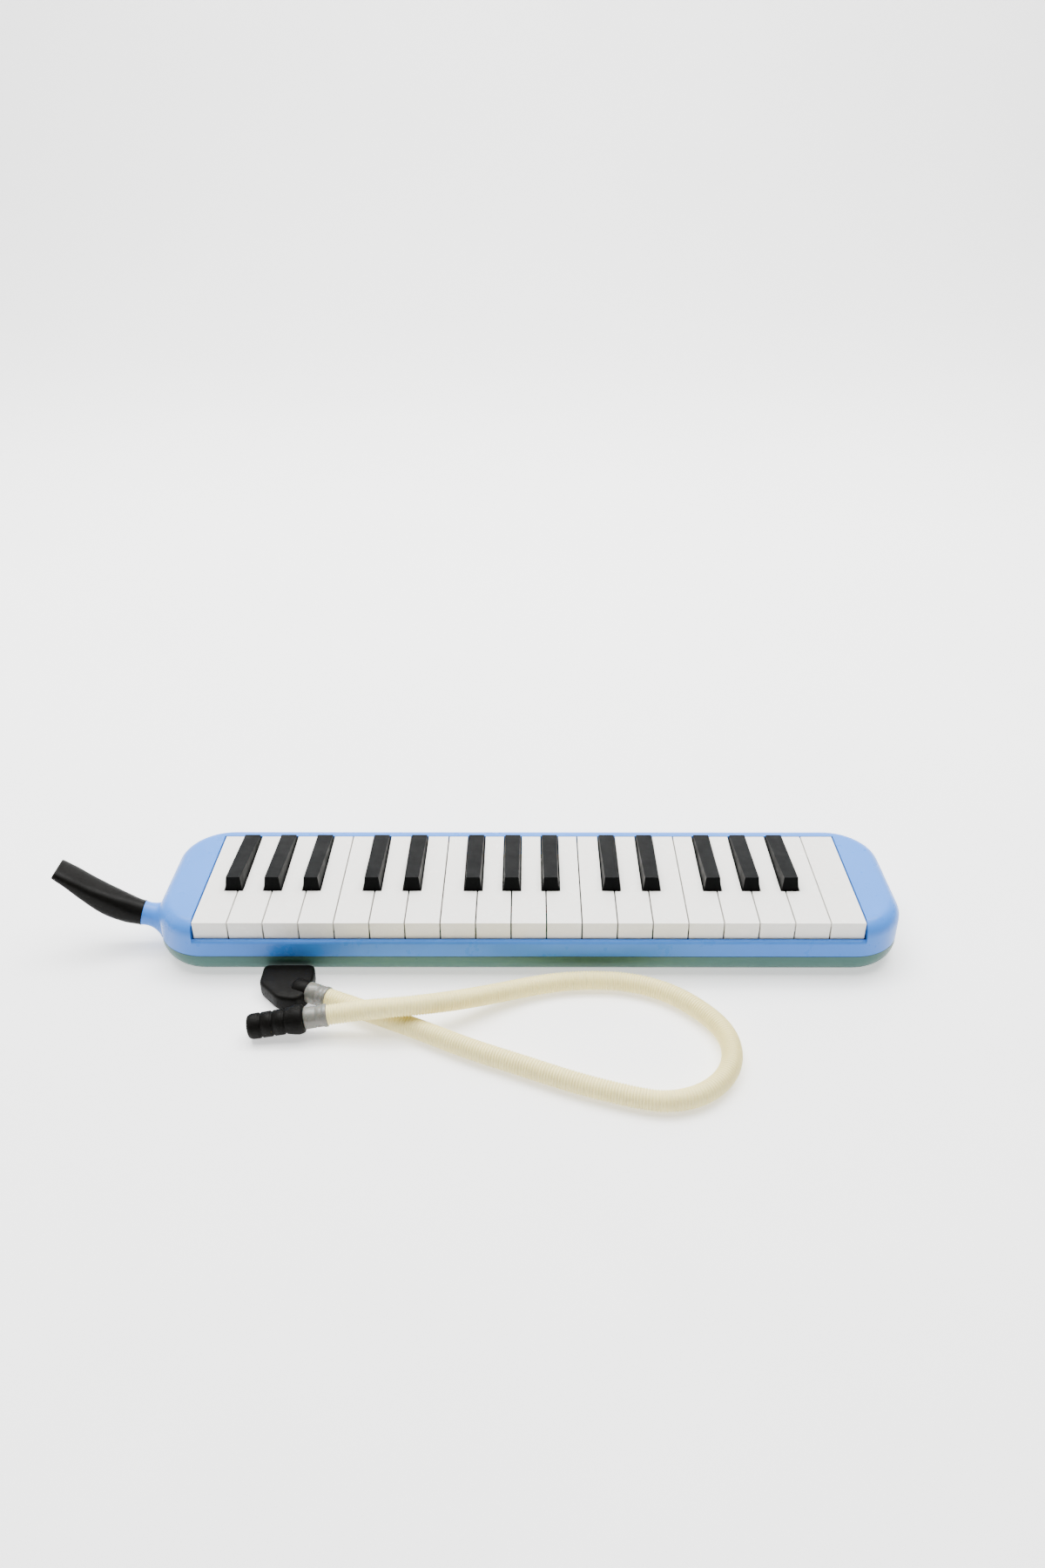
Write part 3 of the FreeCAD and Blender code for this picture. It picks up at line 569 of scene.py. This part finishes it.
def make_hose_group():
    black = scuffed_black("scuffed_black_fittings", 0.45)
    cuff_material = cuff_plastic()
    near = make_cuff("cuff_near", CONNECTOR_TIP, CONNECTOR_DIR, cuff_material)
    far = make_cuff("cuff_far", FAR_TIP, FAR_DIR, cuff_material)
    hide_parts("hose_cuffs")
    connector = make_connector(black)
    end_piece = make_end_piece(black)
    make_hose(hose_plastic())


# ---------------------------------------------------------------- room

def make_floor():
    """A white sweep: flat under the object, curving up into a wall far behind it."""
    near, far, half_width, rise_r, wall_top = -3.0, 1.6, 4.0, 0.9, 4.0
    arc_steps = 12
    line = [(near, 0.0), (far, 0.0)]
    for step in range(1, arc_steps + 1):
        a = math.pi / 2 * step / arc_steps
        line.append((far + rise_r * math.sin(a), rise_r * (1 - math.cos(a))))
    line.append((far + rise_r, wall_top))
    verts = [(x, y, z) for y, z in line for x in (-half_width, half_width)]
    faces = [(2 * i, 2 * i + 1, 2 * i + 3, 2 * i + 2) for i in range(len(line) - 1)]
    mesh = bpy.data.meshes.new("floor")
    mesh.from_pydata(verts, [], faces)
    mesh.materials.append(floor_paint())
    mesh.shade_smooth()
    floor = bpy.data.objects.new("floor", mesh)
    bpy.context.scene.collection.objects.link(floor)


def area_light(name, place, target, size, power):
    data = bpy.data.lights.new(name, "AREA")
    data.shape = "RECTANGLE"
    data.size, data.size_y = size
    data.energy = power
    light = bpy.data.objects.new(name, data)
    bpy.context.scene.collection.objects.link(light)
    light.location = place
    aim = Vector(target) - Vector(place)
    light.rotation_euler = aim.to_track_quat("-Z", "Y").to_euler()


def make_lights():
    world = bpy.data.worlds.new("studio")
    world.use_nodes = True
    background = world.node_tree.nodes["Background"]
    background.inputs["Color"].default_value = (1.0, 1.0, 1.0, 1)
    background.inputs["Strength"].default_value = 0.1
    bpy.context.scene.world = world
    area_light("overhead", (0.0, 0.35, 1.5), (0, 0, 0), (2.2, 1.4), 84)
    area_light("left_window", (-1.5, 0.1, 0.8), (0, 0, 0), (0.9, 0.9), 6)
    area_light("backdrop_wash", (0.0, 0.9, 2.2), (0, 2.4, 0.4), (3.0, 0.8), 110)


make_camera()
make_hose_group()
make_mouthpiece(scuffed_black())
dress_cad_nodes()
dress_keys()
make_floor()
make_lights()
